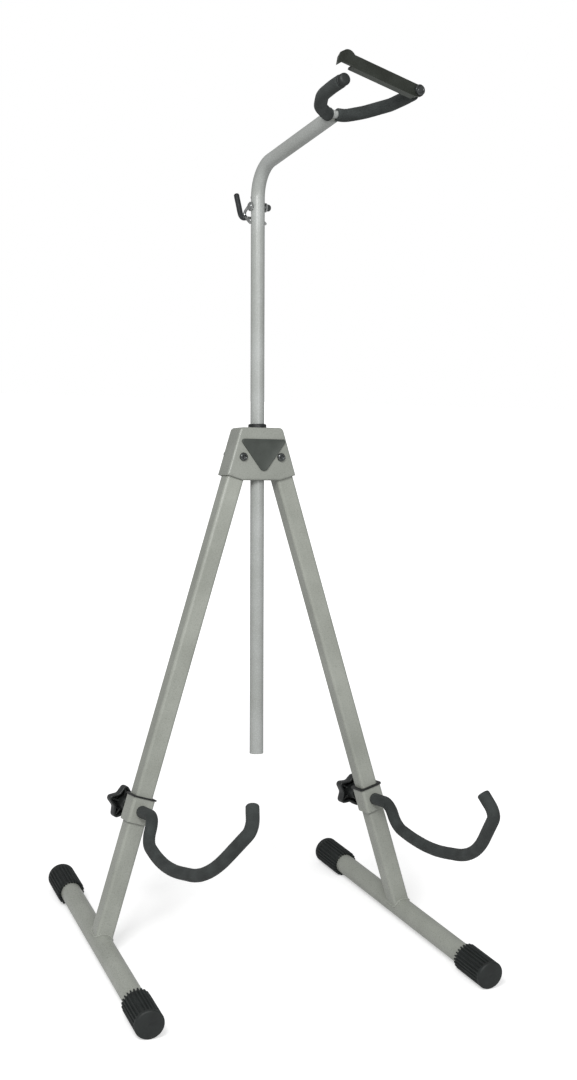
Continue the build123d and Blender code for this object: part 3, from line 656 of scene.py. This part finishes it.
def foot_cap(name, body, mouth, node, ribs):
    """Ribbed rubber cap: toothed mouth, deep grooves that stop short of a smooth domed end."""
    samples, depth, lip_depth = 10, 2.3, 1.6
    fade_from, fade_length = 53, 4.5
    total = ribs * samples

    def groove(i):
        """How far into a groove this sample lies, from 0 on a rib to 1."""
        t = abs((i % samples) / samples - 0.5) * 2
        return max(0.0, min(1.0, (0.68 - t) / 0.26))

    rings = []
    for height, radius in ((5.0, CAP_BORE + 0.05), (1.2, CAP_BORE + 0.1)):
        rings.append([(radius, height + (2.4 * groove(i))) for i in range(total)])
    for height in CAP_ROWS:
        run_out = 1.0
        if height >= fade_from:
            run_out = max(0.0, 1 - ((height - fade_from) / fade_length) ** 2)
        lip = max(0.0, 1 - height / 3.0)
        teeth = 2.6 * max(0.0, 1 - height / 6.0)
        ring = []
        for i in range(total):
            radius = CAP_RADIUS - depth * groove(i) * run_out - lip_depth * lip**2
            ring.append((radius, height + teeth * groove(i)))
        rings.append(ring)
    rings += [[pair] * total for pair in CAP_END]
    placed = [
        [polar(mouth, r, 2 * pi * i / total, z) for i, (r, z) in enumerate(ring)] for ring in rings
    ]
    material = shared(moulded_rubber)
    piece = new_piece(name, body, *skin(placed, close_start=False), material, sharp=50)
    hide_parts(node)


def foam_sleeve(name, body, line, node, settings, tip_closed=False, flare=0.0):
    """Foam sleeve over a bent rod: a soft skin that puckers inside bends, with eased ends."""
    line = resample(line, 1.3 * MM)
    outer, length = settings.foam_radius / MM - 0.12, line_length(line)

    def wall(place, angle, inside):
        """Outside radius in mm; inside is above 0 on the inside of a bend."""
        point = Vector((place * MM, cos(angle) * 0.007, sin(angle) * 0.007 + settings.grain_seed))
        swell = sum(height * grain(point, size) for height, size in FOAM_SWELL)
        bend = min(1.0, abs(inside) / 0.08)
        fold = 0.16 * sin(place * 2 * pi / PUCKER_PITCH + 1.5 * sin(angle)) - 0.1
        pucker = bend * fold if inside > 0 else -0.10 * bend
        near = min(place, length - place)
        ease = 0.9 * max(0.0, 1 - near / 1.4) ** 2
        swell = swell * min(1.0, near / 2) * 0.8 + flare * max(0.0, 1 - place / 7.0) ** 1.5
        return outer + swell + pucker * 0.7 - ease

    rings = sweep_rings(line, wall, segments=40)

    def end_rings(point, inward, template, closed):
        """Rings from the sleeve's end face into its bore, or over a closed tip."""
        steps = ((0.72, 0.0), (0.3, 0.25), (0.06, 0.5))
        if not closed:
            steps = ((0.73, 0.0), (0.695, 0.6), (0.69, 3.0))
        return [
            [point + inward * depth * MM + (p - point) * share for p in template]
            for share, depth in steps
        ]

    first, final = (line[1] - line[0]).normalized(), (line[-2] - line[-1]).normalized()
    start = end_rings(line[0], first, rings[0], False)
    end = end_rings(line[-1], final, rings[-1], tip_closed)
    rings = start[::-1] + rings + end
    vertices, faces = skin(rings, close_start=False, close_end=tip_closed)
    piece = new_piece(name, body, vertices, faces, shared(foam_rubber), sharp=60)
    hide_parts(node)


def bead(name, body, line, size, loop=True):
    """A weld bead along a seam: overlapping puddles under the same powder coat."""
    line = resample(line, 0.5 * MM, loop=loop)
    puddle = 2.3

    def radius(place, angle, inside):
        """Half the bead's thickness in mm, from one puddle to the next."""
        uneven = 0.1 * grain((place * MM, 0, cos(angle) * 0.002), 3)
        return size * (0.86 + 0.12 * sin(place * 2 * pi / puddle) + uneven)

    vertices, faces = skin(sweep_rings(line, radius, 12, loop), loop=loop)
    piece = new_piece(name, body, vertices, faces, shared(coated_steel), sharp=70)


# ---------------------------------------------------------------- settings


class StandSizes(bpy.types.PropertyGroup):
    """Sizes of the moulded, foam and threaded detail."""

    foam_radius: FloatProperty(
        name="Foam radius",
        description="Outside radius of the foam sleeves",
        default=8.25 * MM,
        min=6.0 * MM,
        max=8.6 * MM,
        subtype="DISTANCE",
        unit="LENGTH",
    )
    knob_radius: FloatProperty(
        name="Knob radius",
        description="Radius over the rounded lobes of a star knob",
        default=23.2 * MM,
        min=18.0 * MM,
        max=23.3 * MM,
        subtype="DISTANCE",
        unit="LENGTH",
    )
    knob_turn: FloatProperty(
        name="Knob turn",
        description="First lobe of a star knob from sideways",
        default=radians(41.5),
        subtype="ANGLE",
        unit="ROTATION",
    )
    grain_seed: FloatProperty(
        name="Grain seed", description="Shifts the random skin of the foam", default=0.31
    )
    cap_ribs: IntProperty(
        name="Cap ribs", description="Ribs round a foot cap", default=24, min=12, max=36
    )


class StandFinish(bpy.types.PropertyGroup):
    """Colours of the finishes, as sRGB hex values."""

    coat_dark: StringProperty(
        name="Coat, darker", description="Darker drift of the powder coat", default="#92958d"
    )
    coat_light: StringProperty(
        name="Coat, lighter", description="Lighter drift of the powder coat", default="#a4a79f"
    )
    # the coat's edge colour is a painted highlight along corners
    coat_edge_highlight: StringProperty(
        name="Coat at edges", description="Where the coat thins on a corner", default="#dce0d9"
    )
    # the housing's coat is the tube's grey painted a shade deeper, as painted shade
    shell_dark: StringProperty(
        name="Shell, darker", description="Darker drift of the housing's coat", default="#888b84"
    )
    shell_light: StringProperty(
        name="Shell, lighter", description="Lighter drift of the housing's coat", default="#989b94"
    )
    # the mast's coat is the tube's grey painted a shade paler, as painted light
    mast_dark: StringProperty(
        name="Mast, darker", description="Darker drift of the mast's coat", default="#9b9e9a"
    )
    mast_light: StringProperty(
        name="Mast, lighter", description="Lighter drift of the mast's coat", default="#adb0ae"
    )
    foam_dark: StringProperty(
        name="Foam, darker", description="Darker drift of the foam", default="#232726"
    )
    foam_light: StringProperty(
        name="Foam, lighter", description="Lighter drift of the foam", default="#3b403f"
    )
    bar_dark: StringProperty(
        name="Bar, darker", description="Darker drift of the locking bar", default="#23261f"
    )
    bar_light: StringProperty(
        name="Bar, lighter", description="Lighter drift of the locking bar", default="#363a35"
    )


class StandPiece:
    """What every operator of this stand shares."""

    bl_options = {"REGISTER", "UNDO"}

    @property
    def sizes(self):
        return bpy.context.scene.stand_sizes


class STAND_OT_coated_frame(StandPiece, bpy.types.Operator):
    """Powder coats the legs, foot tubes, housing, clamps and the rods under the foam"""

    bl_idname = "stand.coated_frame"
    bl_label = "Coated Frame"

    def execute(self, context):
        parts = ("leg", "foot_tube", "clamp", "hook_rod")
        dress([f"{part}_{name}" for part in parts for name, _ in SIDES], coated_steel)
        dress(["housing_shell", "housing_back"], shaded_shell_coat)
        dress(["yoke_rod"], lit_mast_coat)
        return {"FINISHED"}


class STAND_OT_bent_mast(StandPiece, bpy.types.Operator):
    """Bends the mast tube, open at its tail, and stops its arm short of the yoke rod"""

    bl_idname = "stand.bent_mast"
    bl_label = "Bent Mast"

    def execute(self, context):
        radius, bore, lip = MAST_RADIUS, MAST_BORE, 0.3
        tail, corner = Vector((0, 0, MAST_TAIL)), Vector((0, 0, MAST_CORNER))
        reach = ARM_REACH / cos(ARM_RISE) - ARM_GAP
        tip = corner + Vector((0, -cos(ARM_RISE), sin(ARM_RISE))) * reach
        line = [MAST @ (p * MM) for p in rounded([tail, corner, tip], MAST_BEND, step=1.5)]
        rings = sweep_rings(line, lambda place, angle, inside: radius, segments=56)
        up, out = (line[1] - line[0]).normalized(), (line[-1] - line[-2]).normalized()
        mouth = [
            [line[0] + up * depth * MM + (p - line[0]) * (r / radius) for p in rings[0]]
            for r, depth in (
                (bore, TAIL_DEPTH),
                (bore, lip),
                (bore + lip, 0.0),
                (radius - lip, 0.0),
            )
        ]
        dome = [
            [line[-1] + out * depth * MM + (p - line[-1]) * (r / radius) for p in rings[-1]]
            for r, depth in ((radius - lip, 0.25), (radius - 1.2, 0.5), (5.0, 0.8))
        ]
        rings[0] = [p + up * lip * MM for p in rings[0]]
        skins = skin(mouth + rings + dome)
        tube = new_piece("bent_mast_tube", "mast", *skins, shared(lit_mast_coat), sharp=35)
        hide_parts("mast_tube")
        return {"FINISHED"}


class STAND_OT_weld_beads(StandPiece, bpy.types.Operator):
    """Adds the weld beads of the feet, of the hooks' bosses and of the yoke"""

    bl_idname = "stand.weld_beads"
    bl_label = "Weld Beads"

    def execute(self, context):
        half = LEG_SIDE / 2
        square = [(x * half, y * half, 0) for x, y in ((-1, -1), (1, -1), (1, 1), (-1, 1))]
        outline = rounded(square, LEG_CORNER, step=0.8, loop=True)
        turns = [a * pi / 24 for a in range(48)]
        for name, side in SIDES:
            leg, foot = leg_frame(side), foot_frame(side)
            seam = []
            for spot in resample(outline, 1.0, loop=True):
                # down this line of the leg's wall until it meets the foot tube
                height = -630.0
                while height > -LEG_LENGTH:
                    local = foot.inverted() @ (leg @ (Vector((spot.x, spot.y, height)) * MM))
                    if hypot(local.x, local.y) / MM < FOOT_SEAM:
                        break
                    height -= 0.25
                seam.append(leg @ (Vector((spot.x, spot.y, height + 0.4)) * MM))
            bead(f"leg_weld_{name}", f"leg_{name}", seam, 1.9)
            clamp = clamp_frame(side)
            face, boss = CLAMP_OUTER / 2 + 0.2, 7.9
            ring = [(boss * cos(a), face, boss * sin(a)) for a in turns]
            bead(f"boss_weld_{name}", f"hook_{name}", [clamp @ (Vector(p) * MM) for p in ring], 0.9)
        ring = [(7.0 * cos(a), -5.0, 4.2 * sin(a)) for a in turns]
        bead("yoke_weld", "mast", [YOKE @ (Vector(p) * MM) for p in ring], 2.0)
        return {"FINISHED"}


class STAND_OT_foam_sleeves(StandPiece, bpy.types.Operator):
    """Slides the foam sleeves over the two hooks and the two arms of the neck yoke"""

    bl_idname = "stand.foam_sleeves"
    bl_label = "Foam Sleeves"

    def execute(self, context):
        root = (CLAMP_OUTER / 2 + 0.3, 0.0)
        for name, side in SIDES:
            base = within(clamp_frame(side), (0, 0, 0), (0, -1, 0), (-1, 0, 0))
            points = [(x, y, 0) for x, y in (root, *HOOK_NECK, *HOOK_CRADLE)]
            line = [base @ (p * MM) for p in rounded(points, HOOK_CORNERS)]
            foam_sleeve(
                f"hook_sleeve_{name}",
                f"hook_{name}",
                line,
                f"hook_foam_{name}",
                self.sizes,
                tip_closed=True,
            )
        for name, _ in SIDES:
            tip, heading = arm_end(name)
            points = [Vector((x, y, 0)) for x, y in SLEEVE_LINES[name]]
            points.append(tip - heading * SLEEVE_STOP[name])
            line = [YOKE @ (p * MM) for p in rounded(points, SLEEVE_CORNERS[name])]
            foam_sleeve(
                f"yoke_sleeve_{name}",
                "mast",
                line,
                f"yoke_foam_{name}",
                self.sizes,
                flare=SLEEVE_FLARE[name],
            )
        return {"FINISHED"}


class STAND_OT_foot_caps(StandPiece, bpy.types.Operator):
    """Pushes the four ribbed rubber caps onto the foot tubes"""

    bl_idname = "stand.foot_caps"
    bl_label = "Foot Caps"

    def execute(self, context):
        for name, side in SIDES:
            for end, reach, heading in FOOT_ENDS:
                start = (0, 0, heading * (reach - CAP_LENGTH))
                mouth = within(foot_frame(side), start, (1, 0, 0), (0, 0, heading))
                foot_cap(
                    f"ribbed_cap_{end}_{name}",
                    f"leg_{name}",
                    mouth,
                    f"foot_cap_{end}_{name}",
                    self.sizes.cap_ribs,
                )
        return {"FINISHED"}


class STAND_OT_star_knobs(StandPiece, bpy.types.Operator):
    """Screws in the three star knobs with their threaded studs"""

    bl_idname = "stand.star_knobs"
    bl_label = "Star Knobs"

    def execute(self, context):
        radius, turn = self.sizes.knob_radius / MM, self.sizes.knob_turn
        knob_depth = 21.0
        for name, side in SIDES:
            body, seat = f"knob_{name}", knob_seat(f"knob_{name}_turn", clamp_frame(side))
            # the right knob was tightened a twelfth of a turn less
            turned = turn - (radians(30) if side > 0 else 0.0)
            star_knob(f"star_knob_{name}", body, seat, f"clamp_knob_{name}", turned, radius)
            stud(f"threaded_stud_{name}", body, seat, 20.9, knob_depth, f"clamp_stud_{name}")
        seat = knob_seat("lock_knob_turn", STAND)
        star_knob("star_knob_lock", "lock", seat, "lock_knob", turn, radius)
        stud("threaded_stud_lock", "lock", seat, 25.0, knob_depth, "lock_stud")
        return {"FINISHED"}


# radius, height and share of a hexagon, from the shank over the button head into its socket
BUTTON_HEAD = (
    (4.0, -42.0, 0),
    (4.0, 0.0, 0),
    (5.6, 0.0, 0),
    (5.75, 0.3, 0),
    (5.75, 1.4, 0),
    (5.5, 2.3, 0),
    (4.9, 3.2, 0),
    (4.1, 3.75, 0),
    (3.5, 3.95, 0),
    (3.15, 3.9, 0.6),
    (2.7, 3.7, 1),
    (2.6, 3.2, 1),
    (2.6, 1.3, 1),
    (1.2, 1.1, 1),
)
# radius and height of the stepped bolt that the bar swings on
BAR_BOLT = (
    (3.0, -19.0),
    (3.0, -0.05),
    (6.1, 0.0),
    (6.5, 0.4),
    (6.5, 3.2),
    (6.1, 3.8),
    (5.3, 4.0),
    (4.6, 3.9),
    (4.3, 3.2),
    (3.7, 3.1),
    (3.3, 3.7),
    (2.6, 3.9),
    (1.0, 4.0),
)


def socket_bolt(seat, segments=48, turn=0.4):
    """A button-head bolt whose socket turns from round to six-sided."""
    rings = []
    for r, z, six in BUTTON_HEAD:
        ring = []
        for i in range(segments):
            a = 2 * pi * i / segments
            flat = 1 / cos((a + pi / 6) % (pi / 3) - pi / 6) - 1
            ring.append(polar(seat, r * (1 + six * flat), a + turn, z))
        rings.append(ring)
    return skin(rings)


class STAND_OT_fasteners(StandPiece, bpy.types.Operator):
    """Finishes nuts and washers, and turns the pivot bolts and the stepped bolt of the bar"""

    bl_idname = "stand.fasteners"
    bl_label = "Fasteners"

    def execute(self, context):
        dress(["bow_nut"], oxide_bolt)
        parts = []
        for _, side in SIDES:
            spot = (side * PIVOT_SPAN, -HOUSING_FACE, PIVOT_HEIGHT)
            parts.append(socket_bolt(within(STAND, spot, (1, 0, 0), (0, -1, 0))))
        skins = join(parts)
        bolts = new_piece("button_head_bolts", "housing", *skins, shared(oxide_bolt), sharp=35)
        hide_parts("pivot_bolts")
        dress(["pivot_nuts", "pivot_washers", "bar_washer", "bow_bracket", "bow_bolt"], bright_zinc)
        skins = lathe(arm_seat("right", 4.0), BAR_BOLT)
        bolt = new_piece("stepped_bar_bolt", "mast", *skins, shared(oxide_bolt), sharp=30)
        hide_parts("bar_bolt")
        return {"FINISHED"}


class STAND_OT_locking_bar(StandPiece, bpy.types.Operator):
    """Gives the pressed locking bar its dark zinc finish"""

    bl_idname = "stand.locking_bar"
    bl_label = "Locking Bar"

    def execute(self, context):
        dress(["locking_bar"], black_steel)
        return {"FINISHED"}


# radius and height of the grooved cap on the yoke's free tip
TIP_CAP = (
    (5.2, 1.0),
    (5.3, 0.0),
    (7.0, 0.0),
    (7.4, 0.5),
    (7.5, 1.2),
    (7.5, 2.2),
    (6.9, 2.6),
    (6.9, 3.1),
    (7.5, 3.5),
    (7.5, 6.8),
    (7.2, 8.3),
    (6.3, 9.3),
    (4.8, 9.8),
    (2.4, 10.0),
)


def vinyl_sleeve(name, side):
    """Soft sleeve dipped over one prong of the bow holder, round the prong's knee."""
    line = rounded([(PRONG_ACROSS[side], y, z) for y, z in PRONG], [16.0])
    line = resample([MAST @ (Vector(p) * MM) for p in line], 0.7 * MM)
    length = line_length(line)

    def wall(place, angle, inside):
        """Outside radius in mm, eased most at the free tip."""
        near = min(place / 2.2, (length - place) / 0.9)
        ease = 1.5 * max(0.0, 1 - near) ** 2
        uneven = 0.07 * grain((place * MM, side, cos(angle) * 0.003), 3)
        return VINYL_RADIUS + uneven - ease * (place < length / 2) - 0.3 * ease

    rings = sweep_rings(line, wall, 24)
    tip = (line[1] - line[0]).normalized()
    rings.insert(0, [line[0] - tip * 0.25 * MM + (p - line[0]) * 0.35 for p in rings[0]])
    rings.append([line[-1] + (p - line[-1]) * 0.66 for p in rings[-1]])
    skins, material = skin(rings), shared(sprung_vinyl)
    sleeve = new_piece(f"vinyl_sleeve_{name}", "mast", *skins, material, sharp=60)
    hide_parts(f"bow_sleeve_{name}")


class STAND_OT_rubber_ends(StandPiece, bpy.types.Operator):
    """Fits the tip cap of the yoke and the vinyl sleeves of the bow holder"""

    bl_idname = "stand.rubber_ends"
    bl_label = "Rubber Ends"

    def execute(self, context):
        skins = lathe(arm_seat("left", 10.0), TIP_CAP, close_start=False)
        cap = new_piece("grooved_tip_cap", "mast", *skins, shared(moulded_rubber), sharp=35)
        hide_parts("yoke_tip_cap")
        for name, side in SIDES:
            vinyl_sleeve(name, side)
        return {"FINISHED"}


class STAND_OT_plastic_parts(StandPiece, bpy.types.Operator):
    """Finishes the bush, guide and clamp liners, and adds the plain badge plate"""

    bl_idname = "stand.plastic_parts"
    bl_label = "Plastic Parts"

    def execute(self, context):
        dress(["mast_bush", "mast_guide"], moulded_nylon)
        dress(["clamp_liner_left", "clamp_liner_right"], liner_polythene)
        face = within(STAND, (0, -HOUSING_FACE, PIVOT_HEIGHT), (1, 0, 0), (0, -1, 0))
        outline = rounded(BADGE_CORNERS, BADGE_RADII, step=0.5, loop=True)
        outline = resample(outline, 0.9, loop=True)
        middle = sum(outline, Vector()) / len(outline)
        # share of the outline and height above the housing, over a softened rim
        rows = ((1.0, 0), (1.0, 1.5), (0.994, 1.8), (0.98, 2), (0.955, 2), (0.94, 1.9), (0.5, 1.9))
        rings = []
        for share, height in rows:
            centre = middle + Vector((0, 0, height))
            rings.append([face @ ((centre + (p - middle) * share) * MM) for p in outline])
        skins, material = skin(rings), shared(plate_plastic)
        plate = new_piece("badge_plate", "housing", *skins, material, sharp=30)
        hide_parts("badge")
        return {"FINISHED"}


# ---------------------------------------------------------------- stage, in metres and watts
FLOOR_REACH = 6.0
FLOOR_DROP = 0.0003
LAMPS = (
    ("key_lamp", (-1.25, -1.25, 2.05), (0, 0, 0.75), 37.0, 0.9),
    ("front_lamp", (-0.2, -2.6, 1.9), (0, 0, 0.7), 23.0, 1.6),
)
CAMERA_TURNS = (radians(-25.6), radians(11.27), radians(4.74))  # azimuth, elevation and roll
CAMERA_PLACE = (-0.8760, -2.00752, 0.326828)  # from the left leg's pivot
CAMERA_LENS, CAMERA_SENSOR = 54.0, 36.0  # mm


def white_paper():
    """Matt white paper that glows to the camera further out, so the backdrop stays white."""
    paper = bpy.data.materials.new("white_paper")
    paper.use_nodes = True
    tree = paper.node_tree
    tree.nodes.clear()
    rays = add(tree, "ShaderNodeLightPath")
    coords = add(tree, "ShaderNodeTexCoord").outputs["Object"]
    # fibres are about 0.1 mm and are drawn at 2.5 mm so that they show
    fibre = add(tree, "ShaderNodeTexNoise", {"Vector": coords, "Scale": 400.0, "Detail": 2.0})
    feeds = {"Height": fibre.outputs["Fac"], "Strength": 0.2, "Distance": 0.0001}
    relief = add(tree, "ShaderNodeBump", feeds)
    feeds = {"Color": (0.8, 0.8, 0.8, 1.0), "Normal": relief.outputs[0]}
    sheet = add(tree, "ShaderNodeBsdfDiffuse", feeds)
    far = add(tree, "ShaderNodeVectorMath", {0: coords}, operation="LENGTH").outputs["Value"]
    feeds = {"Value": far, "From Min": 0.3, "From Max": 1.6, "To Min": 0.5, "To Max": 1.0}
    rise = add(tree, "ShaderNodeMapRange", feeds)
    feeds = {0: rays.outputs["Is Camera Ray"], 1: rise.outputs[0]}
    lift = add(tree, "ShaderNodeMath", feeds, operation="MULTIPLY")
    glow = add(tree, "ShaderNodeEmission", {"Strength": lift.outputs[0]})
    both = add(tree, "ShaderNodeAddShader", {0: sheet.outputs[0], 1: glow.outputs[0]})
    out = add(tree, "ShaderNodeOutputMaterial")
    tree.links.new(both.outputs[0], out.inputs["Surface"])
    return paper


def white_room():
    """A world that lights plainly and shows white behind the stand."""
    world = bpy.data.worlds.new("studio")
    world.use_nodes = True
    tree = world.node_tree
    tree.nodes.clear()
    rays = add(tree, "ShaderNodeLightPath").outputs["Is Camera Ray"]
    level = add(tree, "ShaderNodeMapRange", {"Value": rays, "To Min": 0.34, "To Max": 1.0})
    feeds = {"Color": (1.0, 1.0, 1.0, 1.0), "Strength": level.outputs[0]}
    sky = add(tree, "ShaderNodeBackground", feeds)
    out = add(tree, "ShaderNodeOutputWorld")
    tree.links.new(sky.outputs[0], out.inputs["Surface"])
    return world


class STAND_OT_studio(StandPiece, bpy.types.Operator):
    """Lays the white floor, hangs the soft lamps and sets the camera"""

    bl_idname = "stand.studio"
    bl_label = "Studio"

    def execute(self, context):
        scene = context.scene
        scene.view_settings.view_transform = "Standard"
        mesh = bpy.data.meshes.new("studio_floor")
        corners = ((-1, -1), (1, -1), (1, 1), (-1, 1))
        points = [(x * FLOOR_REACH, y * FLOOR_REACH, 0) for x, y in corners]
        mesh.from_pydata(points, [], [(0, 1, 2, 3)])
        mesh.materials.append(white_paper())
        floor = bpy.data.objects.new("studio_floor", mesh)
        scene.collection.objects.link(floor)
        floor.location.z = -FLOOR_DROP
        scene.world = white_room()

        for name, place, aim, power, size in LAMPS:
            lamp = bpy.data.lights.new(name, "AREA")
            lamp.energy, lamp.size = power, size
            holder = bpy.data.objects.new(name, lamp)
            scene.collection.objects.link(holder)
            holder.location = place
            holder.rotation_mode = "QUATERNION"
            towards = Vector(aim) - Vector(place)
            holder.rotation_quaternion = towards.to_track_quat("-Z", "Y")
            holder.visible_camera = False

        lens = bpy.data.cameras.new("studio_camera")
        lens.lens, lens.sensor_width = CAMERA_LENS, CAMERA_SENSOR
        camera = bpy.data.objects.new("studio_camera", lens)
        scene.collection.objects.link(camera)
        azimuth, elevation, roll = CAMERA_TURNS
        flat = cos(elevation)
        back = Vector((sin(azimuth) * flat, -cos(azimuth) * flat, sin(elevation)))
        level_right = Vector((cos(azimuth), sin(azimuth), 0))
        level_up = back.cross(level_right)
        right = level_right * cos(roll) + level_up * sin(roll)
        up = level_up * cos(roll) - level_right * sin(roll)
        turned = Matrix((right, up, back)).transposed().to_4x4()
        camera.matrix_world = Matrix.Translation(PIVOT + Vector(CAMERA_PLACE)) @ turned
        scene.camera = camera
        return {"FINISHED"}


STEPS = (
    STAND_OT_coated_frame,
    STAND_OT_bent_mast,
    STAND_OT_weld_beads,
    STAND_OT_foam_sleeves,
    STAND_OT_foot_caps,
    STAND_OT_star_knobs,
    STAND_OT_fasteners,
    STAND_OT_locking_bar,
    STAND_OT_rubber_ends,
    STAND_OT_plastic_parts,
    STAND_OT_studio,
)


class STAND_PT_pieces(bpy.types.Panel):
    """The stand's pieces, sizes and colours"""

    bl_idname = "STAND_PT_pieces"
    bl_label = "Double Bass Stand"
    bl_space_type = "VIEW_3D"
    bl_region_type = "UI"
    bl_category = "Stand"

    def draw(self, context):
        for group in (context.scene.stand_sizes, context.scene.stand_finish):
            box = self.layout.box()
            for key in group.__annotations__:
                box.prop(group, key)
        for step in STEPS:
            self.layout.operator(step.bl_idname)


CLASSES = (StandSizes, StandFinish, *STEPS, STAND_PT_pieces)


def register():
    for cls in CLASSES:
        bpy.utils.register_class(cls)
    bpy.types.Scene.stand_sizes = PointerProperty(type=StandSizes)
    bpy.types.Scene.stand_finish = PointerProperty(type=StandFinish)


def unregister():
    del bpy.types.Scene.stand_finish
    del bpy.types.Scene.stand_sizes
    for cls in reversed(CLASSES):
        bpy.utils.unregister_class(cls)


def main():
    """Builds every piece in order."""
    register()
    for step in STEPS:
        group, name = step.bl_idname.split(".")
        getattr(getattr(bpy.ops, group), name)()


if __name__ == "__main__":
    main()
